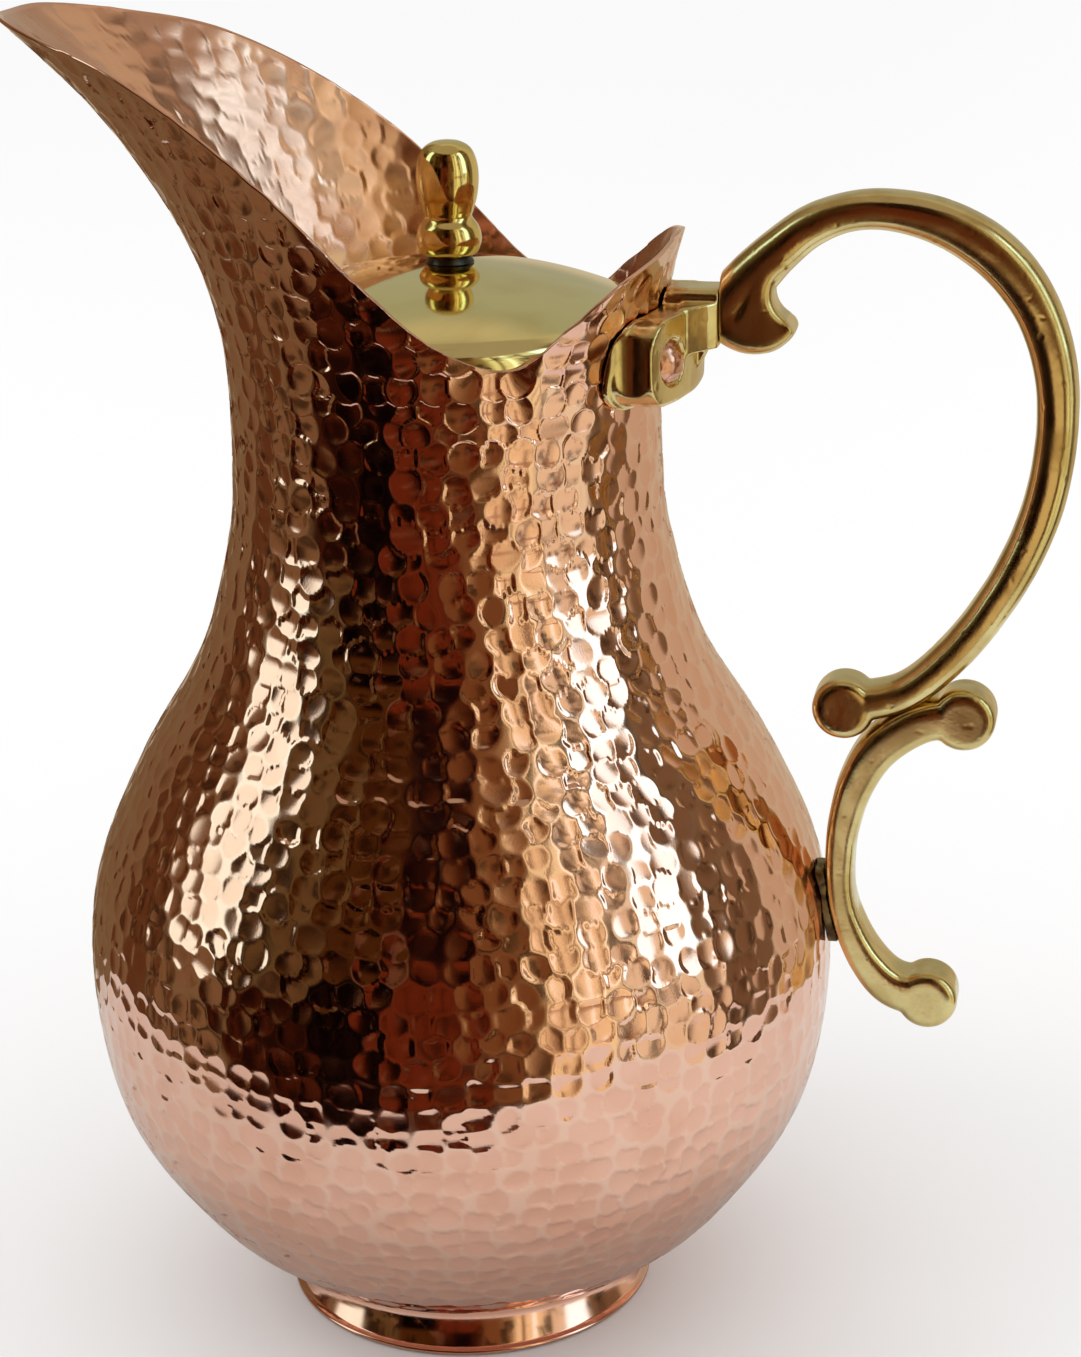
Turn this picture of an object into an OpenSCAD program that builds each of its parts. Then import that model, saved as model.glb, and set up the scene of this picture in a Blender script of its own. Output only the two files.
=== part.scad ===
// Hammered copper water jug with a long open spout, a cast brass scroll handle and a loose
// domed brass lid. The origin is the centre of the foot's bottom plane, +Z is up, the handle is
// towards +X and the spout towards -X. The jug is symmetric about the plane y = 0.

/* [Copper vessel] */
// Thickness of the raised copper wall
wall_t = 1; // [0.8:0.1:1]
// Height at which the neck is narrowest and the mouth starts to flare
neck_z = 203; // [200:1:205]
// Outer radius of the neck there
neck_r = 44.4; // [44:0.1:45]

/* [Foot] */
// Outer radius of the foot where it stands
foot_r = 39.9; // [38:0.1:41]
// Radius of the bead rolled along the foot's lower edge
bead_r = 0.6; // [0.5:0.1:1.2]

/* [Handle] */
// Thickness of the cast handle across the jug
bar_t = 11; // [9:0.5:12]
// Chamfer along the outer edges of the handle
bevel_out = 1.7; // [1:0.1:2]
// Chamfer along the inner edges, where the fingers go
bevel_in = 2.3; // [1.5:0.1:2.5]
// Radius of the bracket's curved front face
bracket_r = 53; // [52:0.1:53.5]

/* [Rivets] */
// Shank radius of the two bracket rivets
rivet_r = 2.2; // [1.5:0.1:2.5]
// Head radius of the two bracket rivets
rivet_head_r = 4.4; // [4:0.1:5]

/* [Lid] */
// Gap between the lid's skirt and the inside of the neck
lid_gap = 0.4; // [0.3:0.05:0.6]
// Thickness of the lid's brass sheet
lid_t = 1; // [0.7:0.1:1.2]
// Radius of the sphere that the lid's dome is part of
dome_r = 98; // [90:1:120]

/* [Hidden] */
$fn = 64;
big = 400;

// Belly and neck from the middle of the bottom up, as radius and height
meridian_points = [[0, 7], [18, 7.2], [33, 8.2], [43, 12], [53.7, 19.5], [63.6, 30], [75.7, 50],
    [80.3, 75], [78.4, 100], [67.8, 125], [53.2, 150], [46, 175], [neck_r + 0.2, 190],
    [neck_r, neck_z]];
// Rim of the mouth from the spout's tip round to the back lip, on the side y > 0
rim_points = [[-89, 0, 279], [-86, 13, 279], [-74, 25.6, 276.5], [-57, 35.8, 272], [-38, 43, 262],
    [-19, 47.5, 248], [-4, 47, 233.5], [9, 44, 222], [22.2, 38.3, 217], [33, 36, 224],
    [42, 30, 231.5], [47.5, 15, 235], [49, 0, 237]];
// Share of the flare reached at each fifth of the height from the neck to the rim
flare_points = [0, 0.033, 0.15, 0.355, 0.63, 1];
meridian_steps = 2;
rim_steps = 3;
mouth_rings = 12;

// Outer face of the foot from its lower edge up, as distance inside foot_r and height
foot_points = [[0, 0], [1.2, 2], [2.4, 4.4], [3.3, 7], [3.9, 10.5]];

// Bracket: half width, lower and upper edges, the outline's corners, the rounding under its front,
// the thin edge that lies on the neck, and the hollow in each side
bracket_half_y = 24.8;
bracket_low_z = 205.9;
bracket_top_z = 223.4;
corner_r = 6.5;
bracket_round = 1.6;
flange_half_y = 25.4;
flange_t = 1.2;
cove_r = 5;
cove_x = 43;
cove_depth = 1.2;
stem_end_x = 57;
stem_low_z = 216.2;
stem_top_z = 226.4;
stem_corner_r = 2;
// side outline of the fillet under the stem (x, z)
gusset_points = [[49, 209.5], [52.9, 210.5], [54.2, 213.3], [57, 216.6], [57, 219], [49, 219]];
// outline of the stem's spread-out root (x, y), on the side y > 0
root_points = [[50, 13], [52, 12], [53.6, 9.4], [55.2, 7.2], [57, 5.5]];
root_low_z = 214.6;
root_top_z = 224;

// Bracket rivets
rivet_angle = 19;
rivet_z = 214.5;
rivet_seat = bracket_r - 0.9;
rivet_head_h = 2.4;
rivet_tail_r = 3.4;
rivet_tail_in = neck_r - 1.2;
rivet_tail_out = neck_r - 0.75;

// Handle centrelines in the plane y = 0, as x, z and the width of the bar in that plane
upper_points = [[51, 221.8, 9.4], [56.5, 222.2, 10.4], [60, 224.7, 10.6], [64, 229.2, 9.9],
    [68.3, 233.5, 9], [74.5, 238.4, 8.2], [82, 241.4, 7.6], [90, 241.9, 7.8], [99.2, 240, 8.8],
    [107.8, 235.6, 9.6], [114.6, 229.4, 9.6], [119.7, 221.3, 9], [122.8, 211.5, 8.6],
    [123.7, 200, 8.3], [122.4, 187.3, 8.3], [118.9, 175.2, 8.2], [112.9, 163.1, 7.8],
    [104.9, 151.8, 7.6], [95, 142.9, 7.4], [83, 139.6, 8]];
hook_points = [[56, 221.5, 9], [59.2, 219.3, 9.6], [62.6, 217.6, 9.3], [66.4, 217.1, 7.7],
    [69.3, 217.8, 5.2], [71.3, 219.1, 3]];
// Web between the arm and the hook (x, z), and the centre and radius of the round notch in it
web_points = [[60, 219], [66, 231], [70, 233], [69.6, 217.6]];
notch = [73, 225.3];
notch_r = 5.4;
lower_points = [[107.4, 138.3, 9], [99.2, 137, 8.6], [90.6, 131, 8.6], [85.8, 122.8, 7.8],
    [83.3, 113.5, 6.8], [82.5, 105, 6.2], [82.9, 97, 5.9], [84.9, 89.8, 6.4], [88.8, 82.2, 7.4],
    [94, 76.8, 8.6], [101.6, 74.9, 9.2]];
handle_steps = 3;
// Discs at the scroll ends, as x, z and radius
upper_curl = [82.8, 139.5, 6.5];
lower_curl_top = [107.4, 138.3, 6.6];
lower_curl_end = [101.6, 74.9, 6.4];
// Line along which the two scrolls are brazed together, as one point of it and its slope
seam = [96.6, 140.7];
seam_angle = 32;

// Pad and rivet that hold the lower scroll to the belly
pad_z = 95;
pad_half_y = 4.5;
pad_half_z = 8.5;
pad_corner_r = 2;
pad_x = [75, 85];
lower_rivet_z = 95;
lower_rivet_r = 2;
lower_rivet_head_r = 4.2;
lower_rivet_head_h = 2;
lower_rivet_in_x = 77.3;
lower_rivet_end_x = 84;

// Lid: top of the dome, start of the shoulder, lower edge of the skirt
lid_top_z = 230;
lid_skirt_r = neck_r - wall_t - lid_gap;
lid_skirt_z = 212;
shoulder_r = 6.5;
knob_x = 1.7; // the hand-fitted knob stands this far off the middle, towards the handle
screw_r = 1.9;
screw_head_r = 3.6;
screw_head_h = 2;
screw_top_z = 242;
washer_r = 5;
washer_h = 1.2;
screw_washer_r = 6;
screw_washer_h = 0.8;
knob_points = [[4.2, 1.2], [5.7, 2], [6.6, 4.4], [6.1, 7], [4.8, 9], [5.1, 10.4],
    [5.9, 13.2], [6.3, 16.8], [6, 20], [4.9, 22.6], [2.8, 24], [0, 24.4]];

// ---- curves ----

// One point between p1 and p2 on the smooth curve through four points
function between(p0, p1, p2, p3, t) = 0.5 * (2 * p1 + (p2 - p0) * t
    + (2 * p0 - 5 * p1 + 4 * p2 - p3) * t * t + (3 * p1 - p0 - 3 * p2 + p3) * t * t * t);

// Smooth curve through an open list of points, with n steps to each stretch
function open_curve(p, n) = let (last = len(p) - 1) [for (i = [0:last - 1]) for (k = [0:n - 1])
    between(p[max(i - 1, 0)], p[i], p[i + 1], p[min(i + 2, last)], k / n), p[last]];

// The same through a closed list of points
function closed_curve(p, n) = let (m = len(p)) [for (i = [0:m - 1]) for (k = [0:n - 1])
    between(p[(i + m - 1) % m], p[i], p[(i + 1) % m], p[(i + 2) % m], k / n)];

// Value at s, from 0 to 1, of the curve through evenly spaced values
function value_at(v, s) = let (last = len(v) - 1, i = min(floor(s * last), last - 1),
    v0 = i == 0 ? v[1] : v[i - 1], v3 = i + 2 > last ? 2 * v[last] - v[last - 1] : v[i + 2])
    between(v0, v[i], v[i + 1], v3, s * last - i);

function unit(v) = v / norm(v);

// ---- copper vessel ----

// Rim all the way round: the given half and its mirror image
rim_half = len(rim_points) - 1;
rim = closed_curve(concat(rim_points,
    [for (i = [rim_half - 1:-1:1]) [rim_points[i][0], -rim_points[i][1], rim_points[i][2]]]),
    rim_steps);
meridian = open_curve(meridian_points, meridian_steps);

// Outer wall in the vertical plane through one rim point, as radius and height
function wall_curve(p) = let (rim_r = norm([p[0], p[1]])) concat(meridian,
    [for (i = [1:mouth_rings]) let (s = i / mouth_rings)
        [neck_r + (rim_r - neck_r) * value_at(flare_points, s), neck_z + (p[2] - neck_z) * s]]);

// The same curve moved to the left of its own direction, which is into the vessel
function moved(c, d) = let (last = len(c) - 1) [for (i = [0:last])
    let (t = unit(c[min(i + 1, last)] - c[max(i - 1, 0)])) c[i] + d * [-t[1], t[0]]];

// Point of the wall curve c in the vertical plane through the rim point p
function placed(c, p) = let (a = atan2(p[1], p[0])) [c[0] * cos(a), c[0] * sin(a), c[1]];

// Triangles between two rings of n points whose first points are a and b
function band(a, b, n) = [for (j = [0:n - 1]) let (k = (j + 1) % n)
    each [[a + j, b + k, b + j], [a + j, a + k, b + k]]];

// Triangles from one point to the ring of n points that starts at a, and the other way round
function fan(point, a, n) = [for (j = [0:n - 1]) [point, a + (j + 1) % n, a + j]];
function back_fan(point, a, n) = [for (j = [0:n - 1]) [point, a + j, a + (j + 1) % n]];

// Sheet of copper of thickness wall_t, inside the outer wall and open at the rim
module shell() {
    n = len(rim);
    outer = [for (p = rim) wall_curve(p)];
    inner = [for (c = outer) moved(c, wall_t)];
    rings = len(outer[0]) - 1;
    points = concat([[0, 0, outer[0][0][1]]],
        [for (i = [1:rings]) for (j = [0:n - 1]) placed(outer[j][i], rim[j])],
        [for (i = [rings:-1:1]) for (j = [0:n - 1]) placed(inner[j][i], rim[j])],
        [[0, 0, inner[0][0][1]]]);
    last = len(points) - 1;
    faces = concat(fan(0, 1, n),
        [for (i = [0:2 * rings - 2]) each band(1 + i * n, 1 + (i + 1) * n, n)],
        back_fan(last, last - n, n));
    polyhedron(points, faces);
}

// Solid that fills the neck out to a distance d outside its wall, from below the bracket up
module neck_core(d) {
    n = len(rim);
    start = len(meridian) - 4;
    outer = [for (p = rim) moved(wall_curve(p), -d)];
    rings = len(outer[0]) - 1;
    points = concat([[0, 0, outer[0][start][1]]],
        [for (i = [start:rings]) for (j = [0:n - 1]) placed(outer[j][i], rim[j])],
        [[0, 0, lid_top_z]]);
    last = len(points) - 1;
    faces = concat(fan(0, 1, n),
        [for (i = [0:rings - start - 1]) each band(1 + i * n, 1 + (i + 1) * n, n)],
        back_fan(last, last - n, n));
    polyhedron(points, faces);
}

// Solid of revolution inside the belly's outer surface
module belly_core() {
    rotate_extrude($fn = 360) polygon(concat(meridian, [[0, neck_z]]));
}

// Cylinder along +X, from x0 to x1
module along_x(x0, x1, r) {
    translate([x0, 0, 0]) rotate([0, 90, 0]) cylinder(r = r, h = x1 - x0);
}

// Places its children at the two bracket rivets, whose shanks point outwards
module at_rivets() {
    for (side = [-1, 1])
        rotate([0, 0, side * rivet_angle]) translate([0, 0, rivet_z]) children();
}

module body() {
    color("peru") difference() {
        shell();
        at_rivets() along_x(neck_r - 6, bracket_r, rivet_r);
        translate([0, 0, lower_rivet_z]) along_x(lower_rivet_in_x - 4, pad_x[1], lower_rivet_r);
    }
}

// Skirt that flares towards the table, with a bead along its lower edge
module foot_ring() {
    last = len(foot_points) - 1;
    color("peru") difference() {
        rotate_extrude($fn = 96) union() {
            polygon(concat([for (p = foot_points) [foot_r - p[0], p[1]]],
                [for (i = [last:-1:0]) [foot_r - wall_t - foot_points[i][0], foot_points[i][1]]]));
            translate([foot_r, bead_r]) circle(r = bead_r);
        }
        belly_core();
    }
}

// ---- handle ----

// Rectangle with rounded corners in the YZ plane, carried along X from x0 to x1
module rounded_prism(x0, x1, y0, y1, z0, z1, r) {
    translate([x0, 0, 0]) rotate([90, 0, 90]) linear_extrude(height = x1 - x0) union() {
        translate([y0 + r, z0]) square([y1 - y0 - 2 * r, z1 - z0]);
        translate([y0, z0 + r]) square([y1 - y0, z1 - z0 - 2 * r]);
        for (y = [y0 + r, y1 - r]) for (z = [z0 + r, z1 - r]) translate([y, z]) circle(r = r);
    }
}

module top_bracket() {
    last = len(root_points) - 1;
    color("goldenrod") difference() {
        union() {
            intersection() {
                rotate_extrude($fn = 128) union() {
                    translate([30, bracket_low_z])
                        square([bracket_r - bracket_round - 30, bracket_top_z - bracket_low_z]);
                    translate([30, bracket_low_z + bracket_round])
                        square([bracket_r - 30, bracket_top_z - bracket_low_z - bracket_round]);
                    translate([bracket_r - bracket_round, bracket_low_z + bracket_round])
                        circle(r = bracket_round);
                }
                rounded_prism(30, 60, -bracket_half_y, bracket_half_y, bracket_low_z,
                    bracket_top_z, corner_r);
            }
            intersection() {
                neck_core(flange_t);
                rounded_prism(30, 60, -flange_half_y, flange_half_y, bracket_low_z - 0.8,
                    bracket_top_z, corner_r);
            }
            rounded_prism(45, stem_end_x, -bar_t / 2, bar_t / 2, stem_low_z, stem_top_z,
                stem_corner_r);
            translate([0, 0, root_low_z]) linear_extrude(height = root_top_z - root_low_z)
                polygon(concat(root_points,
                    [for (i = [last:-1:0]) [root_points[i][0], -root_points[i][1]]]));
            rotate([90, 0, 0]) linear_extrude(height = bar_t, center = true)
                polygon(gusset_points);
        }
        neck_core(0);
        for (side = [-1, 1]) translate([cove_x, side * (bracket_half_y + cove_r - cove_depth), 0])
            cylinder(r = cove_r, h = big);
        at_rivets() along_x(40, 60, rivet_r);
        at_rivets() along_x(rivet_seat, 60, rivet_head_r + 0.4);
    }
}

// Domed head along +X whose flat side is at x0
module rivet_head(x0, r, h) {
    ball_r = (r * r + h * h) / (2 * h);
    rotate([0, 90, 0]) rotate_extrude() intersection() {
        translate([0, x0 + h - ball_r]) circle(r = ball_r, $fn = 180);
        translate([0, x0]) square([2 * r, 2 * h]);
    }
}

module upper_rivets() {
    color("chocolate") at_rivets() union() {
        along_x(rivet_tail_in, rivet_tail_out, rivet_tail_r);
        along_x(rivet_tail_in, rivet_seat + 0.5, rivet_r);
        rivet_head(rivet_seat, rivet_head_r, rivet_head_h);
    }
}

// Cross-section of a bar of width w, as distance towards its outer side and distance across
function bar_section(w) = let (o = min(bevel_out, w / 4), i = min(bevel_in, w / 3),
    h = bar_t / 2, e = w / 2) [[e, -h + o], [e, h - o], [e - o, h], [i - e, h], [-e, h - i],
    [-e, i - h], [i - e, -h], [e - o, -h]];

// Bar that follows a centreline in the plane y = 0. Its outer side is to the left of the
// direction of the points where side is 1, and to the right where it is -1.
module bar(points, side) {
    path = open_curve(points, handle_steps);
    last = len(path) - 1;
    n = len(bar_section(1));
    corners = [for (i = [0:last]) let (p = path[i],
        d = path[min(i + 1, last)] - path[max(i - 1, 0)], t = unit([d[0], d[1]]))
        for (c = bar_section(p[2]))
            [p[0] - side * c[0] * t[1], c[1], p[1] + side * c[0] * t[0]]];
    walls = [for (i = [0:last - 1]) each band(i * n, (i + 1) * n, n)];
    ends = [[for (j = [n - 1:-1:0]) j], [for (j = [0:n - 1]) last * n + j]];
    faces = concat(walls, ends);
    polyhedron(corners, side < 0 ? [for (f = faces) [for (k = [len(f) - 1:-1:0]) f[k]]] : faces);
}

// Chamfered disc at the end of a scroll
module curl(place) {
    r = place[2];
    h = bar_t / 2;
    translate([place[0], 0, place[1]]) rotate([90, 0, 0]) rotate_extrude()
        polygon([[0, -h], [r - bevel_out, -h], [r, bevel_out - h], [r, h - bevel_out],
            [r - bevel_out, h], [0, h]]);
}

// Web that rounds the corner between the arm and the hook, chamfered like the bars' inner edges
module hook_web() {
    h = bar_t / 2;
    difference() {
        rotate([90, 0, 0]) linear_extrude(height = bar_t, center = true) polygon(web_points);
        translate([notch[0], 0, notch[1]]) rotate([90, 0, 0]) rotate_extrude()
            polygon([[0, -h - 1], [notch_r + bevel_in + 1, -h - 1], [notch_r, bevel_in - h],
                [notch_r, h - bevel_in], [notch_r + bevel_in + 1, h + 1], [0, h + 1]]);
    }
}

// Half space on one side of the brazed seam: above it where side is 1, below where it is -1
module seam_side(side) {
    translate([seam[0], 0, seam[1]]) rotate([0, -seam_angle, 0])
        translate([-big / 2, -big / 2, side > 0 ? 0 : -big]) cube(big);
}

module handle_upper_scroll() {
    color("gold") difference() {
        union() {
            bar(upper_points, 1);
            bar(hook_points, -1);
            hook_web();
            curl(upper_curl);
        }
        translate([stem_end_x - big, -big / 2, 0]) cube(big);
        intersection() {
            seam_side(-1);
            translate([60, -big / 2, 100]) cube([50, big, 60]);
        }
    }
}

module lower_scroll_shape() {
    difference() {
        union() {
            bar(lower_points, -1);
            curl(lower_curl_top);
            curl(lower_curl_end);
        }
        seam_side(1);
    }
}

module handle_lower_scroll() {
    color("gold") difference() {
        lower_scroll_shape();
        translate([0, 0, lower_rivet_z]) along_x(70, lower_rivet_end_x, lower_rivet_r);
    }
}

module lower_pad() {
    color("darkgoldenrod") difference() {
        rounded_prism(pad_x[0], pad_x[1], -pad_half_y, pad_half_y, pad_z - pad_half_z,
            pad_z + pad_half_z, pad_corner_r);
        belly_core();
        lower_scroll_shape();
        // Clears what would stand inside the scroll's curve
        translate([83, -big / 2, 0]) cube(big);
        translate([0, 0, lower_rivet_z]) along_x(70, pad_x[1], lower_rivet_r);
    }
}

module lower_rivet() {
    color("chocolate") translate([0, 0, lower_rivet_z]) union() {
        along_x(lower_rivet_in_x, lower_rivet_end_x, lower_rivet_r);
        translate([2 * lower_rivet_in_x, 0, 0]) mirror([1, 0, 0])
            rivet_head(lower_rivet_in_x, lower_rivet_head_r, lower_rivet_head_h);
    }
}

// ---- lid ----

// Outline of the lid's outer or inner face: a shallow dome, a round shoulder and a skirt.
// d is the distance inwards from the outer face.
function lid_face(d) = let (corner_x = lid_skirt_r - shoulder_r,
    a = asin(corner_x / (dome_r - shoulder_r)),
    centre_z = lid_top_z - dome_r + (dome_r - shoulder_r) * cos(a), n = 12) concat(
    [for (i = [0:n - 1]) let (b = a * i / n)
        [(dome_r - d) * sin(b), lid_top_z - dome_r + (dome_r - d) * cos(b)]],
    [for (i = [0:n]) let (b = a + (90 - a) * i / n)
        [corner_x + (shoulder_r - d) * sin(b), centre_z + (shoulder_r - d) * cos(b)]],
    [[lid_skirt_r - d, lid_skirt_z]]);

module lid_dome() {
    inside = lid_face(lid_t);
    color("khaki") difference() {
        rotate_extrude($fn = 96) polygon(concat(lid_face(0),
            [for (i = [len(inside) - 1:-1:0]) inside[i]]));
        translate([knob_x, 0, lid_top_z - 5]) cylinder(r = screw_r, h = 10);
    }
}

module knob() {
    color("gold") translate([knob_x, 0, lid_top_z]) difference() {
        rotate_extrude() polygon(concat([[0, knob_points[0][1]]], open_curve(knob_points, 4)));
        cylinder(r = screw_r, h = screw_top_z - lid_top_z);
    }
}

module knob_washer() {
    color("dimgray") translate([knob_x, 0, lid_top_z]) difference() {
        rotate_extrude() union() {
            square([washer_r - 0.3, washer_h]);
            translate([0, 0.3]) square([washer_r, washer_h - 0.6]);
        }
        translate([0, 0, -1]) cylinder(r = screw_r, h = 5);
    }
}

screw_washer_top = lid_top_z - lid_t - 0.35;

module screw_washer() {
    color("goldenrod") translate([knob_x, 0, screw_washer_top - screw_washer_h]) difference() {
        cylinder(r = screw_washer_r, h = screw_washer_h);
        translate([0, 0, -1]) cylinder(r = screw_r, h = 3);
    }
}

module knob_screw() {
    seat = screw_washer_top - screw_washer_h;
    color("goldenrod") translate([knob_x, 0, seat]) union() {
        cylinder(r = screw_r, h = screw_top_z - seat);
        rotate([0, 90, 0]) rivet_head(0, screw_head_r, screw_head_h);
    }
}

body();
foot_ring();
top_bracket();
upper_rivets();
handle_upper_scroll();
handle_lower_scroll();
lower_pad();
lower_rivet();
lid_dome();
knob();
knob_washer();
knob_screw();
screw_washer();
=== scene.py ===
"""Hammered copper water jug with a cast brass handle and a loose brass lid.

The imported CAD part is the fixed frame. The visible skins are rebuilt round it at the same sizes: the
hammered vessel, its spun foot, the cast handle and bracket, the rivets, the lid and its turned knob.
Outlines are in millimetres, as in the CAD part, and become metres when a mesh is made.
"""

import math

import bmesh
import bpy
import numpy as np
from mathutils import Matrix, Vector, kdtree, noise


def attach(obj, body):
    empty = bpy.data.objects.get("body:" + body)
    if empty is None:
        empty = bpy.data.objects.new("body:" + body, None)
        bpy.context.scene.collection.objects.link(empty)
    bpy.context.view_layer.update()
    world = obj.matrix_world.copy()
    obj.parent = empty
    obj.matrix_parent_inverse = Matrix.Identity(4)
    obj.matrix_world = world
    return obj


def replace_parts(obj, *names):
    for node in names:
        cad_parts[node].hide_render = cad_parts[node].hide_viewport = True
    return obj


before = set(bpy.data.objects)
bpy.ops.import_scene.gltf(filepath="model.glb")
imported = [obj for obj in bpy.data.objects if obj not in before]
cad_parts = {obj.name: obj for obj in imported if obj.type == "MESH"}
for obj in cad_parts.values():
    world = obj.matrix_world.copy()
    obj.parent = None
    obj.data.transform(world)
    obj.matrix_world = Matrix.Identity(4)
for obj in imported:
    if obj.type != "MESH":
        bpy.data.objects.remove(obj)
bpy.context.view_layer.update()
MM = 0.001

# ---- the part's outlines, in millimetres ----

WALL_T = 1.0
NECK_R = 44.4
NECK_Z = 203.0
MERIDIAN = [(0, 7), (18, 7.2), (33, 8.2), (43, 12), (53.7, 19.5), (63.6, 30), (75.7, 50),
            (80.3, 75), (78.4, 100), (67.8, 125), (53.2, 150), (46, 175), (44.6, 190), (44.4, 203)]
RIM_HALF = [(-89, 0, 279), (-86, 13, 279), (-74, 25.6, 276.5), (-57, 35.8, 272), (-38, 43, 262),
            (-19, 47.5, 248), (-4, 47, 233.5), (9, 44, 222), (22.2, 38.3, 217), (33, 36, 224),
            (42, 30, 231.5), (47.5, 15, 235), (49, 0, 237)]
FLARE = [0, 0.033, 0.15, 0.355, 0.63, 1]

FOOT_R = 39.9
BEAD_R = 0.6
FOOT_WALL = [(0, 0), (1.2, 2), (2.4, 4.4), (3.3, 7), (3.9, 10.5)]
FOOT_TOP_Z = 9.2

BAR_T = 11.0
EDGE_R = 2.2
SECTION_POINTS = 32
STEM_END_X = 57.0
UPPER_SCROLL = [(51, 221.8, 9.4), (56.5, 222.2, 10.4), (60, 224.7, 10.6), (64, 229.2, 9.9),
                (68.3, 233.5, 9), (74.5, 238.4, 8.2), (82, 241.4, 7.6), (90, 241.9, 7.8), (99.2, 240, 8.8),
                (107.8, 235.6, 9.6), (114.6, 229.4, 9.6), (119.7, 221.3, 9), (122.8, 211.5, 8.6),
                (123.7, 200, 8.3), (122.4, 187.3, 8.3), (118.9, 175.2, 8.2), (112.9, 163.1, 7.8),
                (104.9, 151.8, 7.6), (95, 142.9, 7.4), (83, 139.6, 8)]
HOOK = [(56, 221.5, 9), (59.2, 219.3, 9.6), (62.6, 217.6, 9.3), (66.4, 217.1, 7.7), (69.3, 217.8, 5.2),
        (71.3, 219.1, 3)]
WEB = [(60, 219), (66, 231), (70, 233), (69.6, 217.6)]
NOTCH = (73, 225.3, 5.4)
LOWER_SCROLL = [(107.4, 138.3, 9), (99.2, 137, 8.6), (90.6, 131, 8.6), (85.8, 122.8, 7.8),
                (83.3, 113.5, 6.8), (82.5, 105, 6.2), (82.9, 97, 5.9), (84.9, 89.8, 6.4),
                (88.8, 82.2, 7.4), (94, 76.8, 8.6), (101.6, 74.9, 9.2)]
UPPER_CURL = (82.8, 139.5, 6.5)
LOWER_CURL_TOP = (107.4, 138.3, 6.6)
LOWER_CURL_END = (101.6, 74.9, 6.4)
SEAM = (96.6, 140.7)
SEAM_ANGLE = math.radians(32)
SEAM_GAP = 0.12

RIVET_ANGLE = 19.0
RIVET_Z = 214.5
RIVET_SEAT = 52.1
RIVET_HEAD_R = 4.4
RIVET_HEAD_H = 2.4
RIVET_R = 2.2
RIVET_TAIL_R = 3.4
RIVET_TAIL_X = (43.2, 43.65)

LID_TOP_Z = 230.0
LID_T = 1.0
LID_SKIRT_R = 43.0
LID_SKIRT_Z = 212.0
DOME_R = 98.0
SHOULDER_R = 6.5
KNOB_X = 1.7
WASHER_R = 5.0
WASHER_H = 1.2
KNOB = [(4.2, 1.2), (5.7, 2), (6.6, 4.4), (6.1, 7), (4.8, 9), (5.1, 10.4), (5.9, 13.2),
        (6.3, 16.8), (6, 20), (4.9, 22.6), (2.8, 24), (0, 24.4)]


# ---- curves ----

def between(p0, p1, p2, p3, t):
    """Points between p1 and p2 on the smooth curve through four points."""
    return 0.5 * (2 * p1 + (p2 - p0) * t + (2 * p0 - 5 * p1 + 4 * p2 - p3) * t * t
                  + (3 * p1 - p0 - 3 * p2 + p3) * t ** 3)


def open_curve(points, steps):
    """Smooth curve through an open list of points, with that many steps to each stretch."""
    p = np.array(points, float)
    t = np.arange(steps)[:, None] / steps
    last = len(p) - 1
    parts = [between(p[max(i - 1, 0)], p[i], p[i + 1], p[min(i + 2, last)], t) for i in range(last)]
    return np.vstack(parts + [p[last:]])


def closed_curve(points, steps):
    """The same through a closed list of points."""
    p = np.array(points, float)
    t = np.arange(steps)[:, None] / steps
    n = len(p)
    return np.vstack([between(p[i - 1], p[i], p[(i + 1) % n], p[(i + 2) % n], t) for i in range(n)])


def values_at(values, s):
    """Values at s, an array from 0 to 1, of the curve through evenly spaced values."""
    v = np.array([values[1], *values, 2 * values[-1] - values[-2]], float)
    last = len(values) - 1
    i = np.minimum((s * last).astype(int), last - 1)
    return between(v[i], v[i + 1], v[i + 2], v[i + 3], s * last - i)


def lengths(points):
    """Distance along a polyline, or along each column of a grid of points, from its start."""
    steps = np.linalg.norm(np.diff(points, axis=0), axis=-1)
    return np.concatenate([np.zeros_like(steps[:1]), np.cumsum(steps, axis=0)])


def evenly(points, spacing):
    """The polyline's points again, at even distances of about spacing."""
    along = lengths(points)
    wanted = np.linspace(0, along[-1], max(2, round(along[-1] / spacing) + 1))
    return np.stack([np.interp(wanted, along, points[:, k]) for k in range(points.shape[1])], 1)


# ---- meshes ----

def add_piece(name, points, faces, body, material):
    """A smooth-shaded mesh piece from points in millimetres, riding on a body."""
    mesh = bpy.data.meshes.new(name)
    mesh.from_pydata(np.asarray(points) * MM, [], faces)
    return add_object(name, mesh, body, material)


def add_object(name, mesh, body, material):
    mesh.validate()
    mesh.shade_smooth()
    mesh.materials.clear()
    mesh.materials.append(material)
    piece = bpy.data.objects.new(name, mesh)
    bpy.context.scene.collection.objects.link(piece)
    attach(piece, body)
    return piece


def bands(rings, columns, closed=False):
    """Quads between rings of so many points each. closed joins the last ring to the first."""
    pairs = rings if closed else rings - 1
    i = np.arange(pairs)[:, None]
    j = np.arange(columns)[None, :]
    a, b = i * columns, ((i + 1) % rings) * columns
    k = (j + 1) % columns
    return np.stack(np.broadcast_arrays(a + j, a + k, b + k, b + j), -1).reshape(-1, 4)


def lathe(outline, segments, closed=False):
    """Points and faces of an (r, z) outline turned round the Z axis, with ends on the axis welded."""
    outline = np.array(outline, float)
    angles = 2 * math.pi * np.arange(segments) / segments
    r, z = outline[:, :1], outline[:, 1:]
    points = np.stack(np.broadcast_arrays(r * np.cos(angles), r * np.sin(angles), z), -1)
    return points.reshape(-1, 3), bands(len(outline), segments, closed).tolist()


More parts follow.
